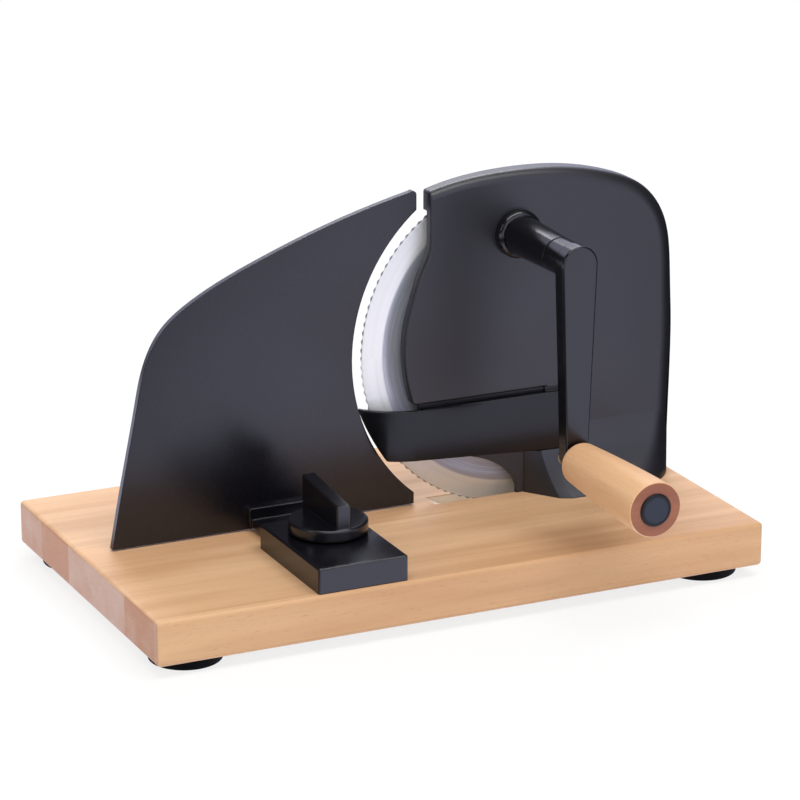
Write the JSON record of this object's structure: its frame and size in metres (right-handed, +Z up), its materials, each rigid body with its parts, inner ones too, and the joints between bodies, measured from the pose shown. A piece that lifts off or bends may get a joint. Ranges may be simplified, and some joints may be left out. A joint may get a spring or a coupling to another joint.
{
  "type": "hand crank bread slicer",
  "caption": "Hand crank bread slicer with a beech board, round toothed blade in a thin black housing, tall sliding stop plate, clamp knob and wooden crank handle.",
  "frame": {"origin": "under the middle of the base board, on the plane that the rubber feet stand on", "axes": "+X along the board to the right as seen from the crank's side, +Y away from the crank's side, +Z up"},
  "size_m": [0.365, 0.2775, 0.2231],
  "materials": {
    "board": "satin oiled beech",
    "rubber": "matt",
    "black_plastic": "satin black",
    "plate_plastic": "satin black",
    "deflector_plastic": "satin charcoal",
    "black_metal": "satin black enamel",
    "cap_plastic": "matt",
    "grip_beech": "satin lacquered beech",
    "blade_steel": "circular brushed",
    "zinc_steel": "zinc plated",
    "steel_spacer": "turned",
    "bronze": "turned bronze",
    "gear_nylon": "natural nylon"
  },
  "bodies": {
    "base": {"base_board": "board", "rubber_foot_front_left": "rubber", "rubber_foot_front_right": "rubber", "rubber_foot_back_left": "rubber", "rubber_foot_back_right": "rubber", "foot_screws": "zinc_steel", "housing_screws": "zinc_steel", "guide_screws": "zinc_steel", "housing_shell": "black_plastic", "gear_cover": "black_plastic", "gear_cover_screws": "zinc_steel", "rear_cover": "black_plastic", "rear_cover_screws": "zinc_steel", "slice_deflector": "deflector_plastic", "deflector_screws": "zinc_steel", "crank_sleeve": "black_metal", "sleeve_screws": "zinc_steel", "sleeve_bush_front": "bronze", "sleeve_bush_rear": "bronze", "blade_axle": "zinc_steel", "axle_screws": "zinc_steel", "thrust_washer": "bronze", "blade_retainer": "zinc_steel", "guide_block": "black_plastic", "clamp_bolt": "zinc_steel", "clamp_washer": "zinc_steel"},
    "crank": {"crank_shaft": "zinc_steel", "drive_gear": "gear_nylon", "gear_clip": "zinc_steel", "crank_arm": "black_metal", "arm_set_screw": "zinc_steel", "handle_spindle": "zinc_steel", "handle_spacer": "steel_spacer", "handle_washer": "zinc_steel", "handle_nut": "zinc_steel"},
    "grip": {"handle_grip": "grip_beech", "handle_end_cap": "cap_plastic"},
    "blade": {"blade": "blade_steel", "blade_gear": "gear_nylon", "blade_bush": "bronze", "blade_screws": "zinc_steel"},
    "plate": {"stop_plate": "plate_plastic", "slide_bracket": "black_plastic", "plate_screws": "zinc_steel"},
    "knob": {"clamp_knob": "black_plastic", "knob_insert": "bronze"}
  },
  "joints": [
    {"name": "crank_turn", "type": "hinge", "parent": "base", "child": "crank", "pos_m": [0.0776, 0, 0.1876], "axis": [0, 1, 0], "continuous": true},
    {"name": "blade_spin", "type": "hinge", "parent": "base", "child": "blade", "pos_m": [0.0834, 0, 0.1218], "axis": [0, 1, 0], "continuous": true},
    {"name": "grip_spin", "type": "hinge", "parent": "crank", "child": "grip", "pos_m": [0.0776, -0.125, 0.07569], "axis": [0, 1, 0], "continuous": true},
    {"name": "plate_slide", "type": "slide", "parent": "base", "child": "plate", "axis": [0, -1, 0], "range_m": [0, 0.018]},
    {"name": "knob_turn", "type": "hinge", "parent": "base", "child": "knob", "pos_m": [-0.0608, -0.053, 0], "axis": [0, 0, 1], "range_deg": [0, 360]}
  ],
  "couplings": [
    {"joint": "blade_spin", "follows": "crank_turn", "ratio": -0.83333}
  ]
}
